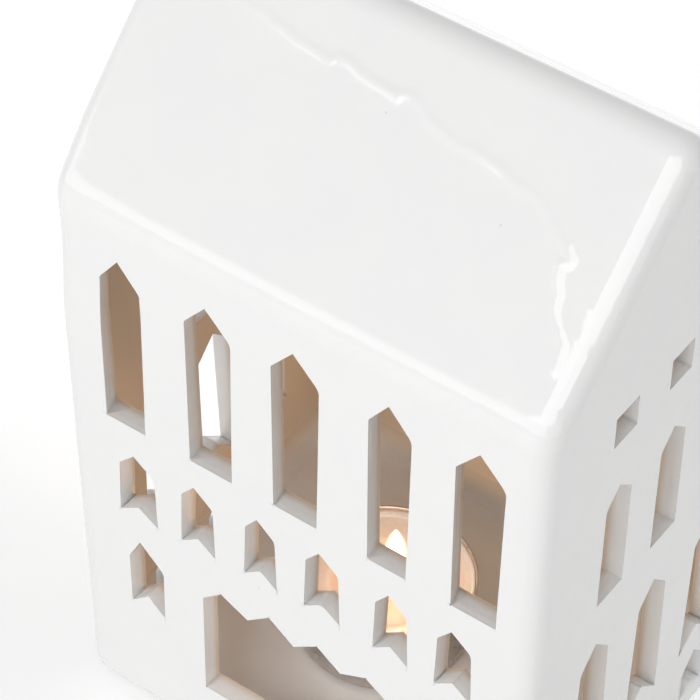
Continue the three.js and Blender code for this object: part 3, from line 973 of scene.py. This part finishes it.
steel, tree, output = new_material("tinned_steel")
ring = math_node(tree, "DIVIDE", from_cup_axis(tree), TIN_RING)
rings = add_node(tree, "ShaderNodeTexNoise", noise_dimensions="1D", W=ring, Scale=1.0, Detail=1.0)
lift = multiply(tree, rings.outputs["Fac"], TIN_RELIEF)
gloss = use_group(tree, mottle, Size=1.2 * MM, Low=0.26, High=0.44)
shade = use_group(tree, mottle, Size=2.5 * MM, Low=0.0, High=1.0)
finish_material(
    tree, output, Base_Color=blend_colours(tree, shade, TIN_LIGHT, TIN_DARK), Metallic=1.0,
    Roughness=gloss, Normal=bent_normal(tree, lift),
)
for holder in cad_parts["wick_sustainer"].material_slots:
    holder.material = steel
print("finish of the sustainer:", len(tree.nodes), "nodes")

# %% [markdown]
# The wick is braided from three strands that wind round each other. It leans a little towards the
# flame, and its burnt tip is thinner. Each strand is a tube: a chain of rings along a helix, with
# a face between each pair of neighbours, so it needs no curve and is closed at both ends.

# %% The braided wick
STRANDS = 3
STRAND_RADIUS = 0.27 * MM
TWIST_PITCH = 2.6 * MM
WICK_RINGS = 90
RING_SIDES = 8
LEAN_START = 0.6  # shares of the wick's height from which it leans, and grows thin
THIN_START = 0.93
THINNEST = 0.5

wick_low, wick_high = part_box("wick")
twist_radius = (wick_high.y - wick_low.y) / 2 - STRAND_RADIUS
lean_room = wick_high.x - CUP_AXIS.x - twist_radius - STRAND_RADIUS


def circle(angle, radius):
    """The level vector of that length that points at an angle, in radians."""
    return Vector((math.cos(angle), math.sin(angle), 0)) * radius


def strand_ring(mesh, strand, share):
    """One ring of a strand, at a share of the wick's height."""
    height = wick_low.z + STRAND_RADIUS + (wick_high.z - wick_low.z - 2 * STRAND_RADIUS) * share
    lean = lean_room * max(share - LEAN_START, 0) / (1 - LEAN_START)
    middle = Vector((CUP_AXIS.x + lean, CUP_AXIS.y, height))
    middle += circle(math.tau * (height / TWIST_PITCH + strand / STRANDS), twist_radius)
    thin = 1 - (1 - THINNEST) * max(share - THIN_START, 0) / (1 - THIN_START)
    turns = [math.tau * side / RING_SIDES for side in range(RING_SIDES)]
    return [mesh.verts.new(middle + circle(turn, STRAND_RADIUS * thin)) for turn in turns]


braid = bmesh.new()
for strand in range(STRANDS):
    rings = [strand_ring(braid, strand, step / WICK_RINGS) for step in range(WICK_RINGS + 1)]
    for lower, upper in zip(rings, rings[1:]):
        for side in range(RING_SIDES):
            after = (side + 1) % RING_SIDES
            braid.faces.new((lower[side], lower[after], upper[after], upper[side]))
    braid.faces.new(rings[0][::-1])
    braid.faces.new(rings[-1])
print("wick box, mm:", [round(v / MM, 2) for v in (*wick_low, *wick_high)])

# %% [markdown]
# Below, the wick is soaked with wax and brown. Above, it is charred, black and rough, and its tip
# glows. All three are told apart by height, under the fine fluff of the fibres.

# %% Charred cotton
SOAKED_LIGHT = (0.6, 0.5, 0.38, 1)
SOAKED_DARK = (0.46, 0.37, 0.27, 1)
BURNT_LIGHT = (0.035, 0.028, 0.024, 1)
BURNT_DARK = (0.012, 0.01, 0.009, 1)
NO_GLOW = (0, 0, 0, 1)
EMBER = (1, 0.25, 0.05, 1)
EMBER_STRENGTH = 3.0
SOAKED_ROUGH = 0.35
BURNT_ROUGHER = 0.55
FIBRE_RELIEF = 0.05 * MM

char, tree, output = new_material("charred_cotton")
height = coordinate(tree, "Z")
scorch = ramp(tree, height, wick_high.z - 6.5 * MM, wick_high.z - 4 * MM)
ember = ramp(tree, height, wick_high.z - 0.9 * MM, wick_high.z - 0.2 * MM)
fluff = use_group(tree, mottle, Size=0.3 * MM, Low=0.0, High=1.0)
soaked = blend_colours(tree, fluff, SOAKED_LIGHT, SOAKED_DARK)
burnt = blend_colours(tree, fluff, BURNT_LIGHT, BURNT_DARK)
fibres = use_group(tree, mottle, Size=0.2 * MM, Low=0.0, High=FIBRE_RELIEF)
finish_material(
    tree, output, Base_Color=blend_colours(tree, scorch, soaked, burnt),
    Roughness=math_node(tree, "ADD", SOAKED_ROUGH, multiply(tree, scorch, BURNT_ROUGHER)),
    Emission_Color=blend_colours(tree, ember, NO_GLOW, EMBER), Emission_Strength=EMBER_STRENGTH,
    Normal=bent_normal(tree, fibres),
)
finish_piece(braid, "braided_wick", char, "tealight", "charred_cotton", "wick")

# %% [markdown]
# A flame has no surface, and it fades towards its edge. Three closed shells, one in another, stand
# for it: a bright core, and a mantle and a halo that are larger and let more of what lies behind
# show through, so no single hard edge is seen. They only glow, cast no shadow and ride with the
# tealight.

# %% The flame
FLAME_AXIS = Vector((2.3, 0, 0)) * MM  # from the cup's axis, about where the wick leans to
FLAME_BASE = 17.4
FLAME_TIP = 30.1
FLAME_GIRTH = 4.8411309  # in mm; with the powers below, the flame is widest low down, at 2 mm
FLAME_FOOT = 0.5  # the powers that shape its round foot and its pointed tip
FLAME_POINT = 0.8
FLAME_STEPS = 28
FLAME_SIDES = 32
SWELL_BELOW = 0.5  # how much of its swell a shell adds below the core, and to the core's height
SWELL_TALLER = 1.2


def flame_radius(share):
    """The core's radius in mm, at a share of its height from the base to the tip."""
    return FLAME_GIRTH * share ** FLAME_FOOT * (1 - share) ** FLAME_POINT


def flame_shell(name, swell, alpha, colour, strength):
    """One closed shell of the flame; swell makes it larger than the core, in mm."""
    points = []
    for step in range(FLAME_STEPS + 1):
        share = 0.5 - 0.5 * math.cos(math.pi * step / FLAME_STEPS)
        tall = FLAME_TIP - FLAME_BASE + swell * SWELL_TALLER
        height = FLAME_BASE - swell * SWELL_BELOW + tall * share
        ends = step in (0, FLAME_STEPS)
        radius = 0 if ends else flame_radius(share) + swell * math.sin(math.pi * share)
        points.append((radius, height))
    mesh = spin_profile(points, FLAME_SIDES)
    bmesh.ops.translate(mesh, verts=mesh.verts, vec=FLAME_AXIS)
    material, tree, output = new_material(name)
    finish_material(
        tree, output, Base_Color=NO_GLOW, Roughness=1.0, Alpha=alpha, Specular_IOR_Level=0.0,
        Emission_Color=colour, Emission_Strength=strength,
    )
    piece = finish_piece(mesh, name, material, "tealight", None)
    piece.visible_shadow = False
    return piece


core = flame_shell("flame_core", swell=0, alpha=1.0, colour=(1, 0.93, 0.8, 1), strength=6.0)
flame_shell("flame_mantle", swell=0.35, alpha=0.45, colour=(1, 0.72, 0.4, 1), strength=2.2)
flame_shell("flame_halo", swell=0.8, alpha=0.16, colour=(1, 0.6, 0.3, 1), strength=1.2)

# %% [markdown]
# The shells glow for the camera, but they are small, and a path tracer seldom meets them. A little
# round lamp in the flame's middle gives its warm light instead. It is a child of the core, so it
# goes wherever the tealight goes.

# %% The light that the flame gives
CANDLE_POWER = 0.0105
CANDLE_COLOUR = (1, 0.6, 0.35)
CANDLE_SIZE = 2.2 * MM
CANDLE_HEIGHT = 23.5 * MM

spark = bpy.data.lights.new("candle_light", "POINT")
spark.energy = CANDLE_POWER
spark.color = CANDLE_COLOUR
spark.shadow_soft_size = CANDLE_SIZE
candle = add_object("candle_light", spark)
candle.location = CUP_AXIS + FLAME_AXIS + Vector((0, 0, CUP_FOOT + CANDLE_HEIGHT))
candle.visible_camera = False
candle.parent = core
print("candle light at", [round(v / MM, 1) for v in candle.location])
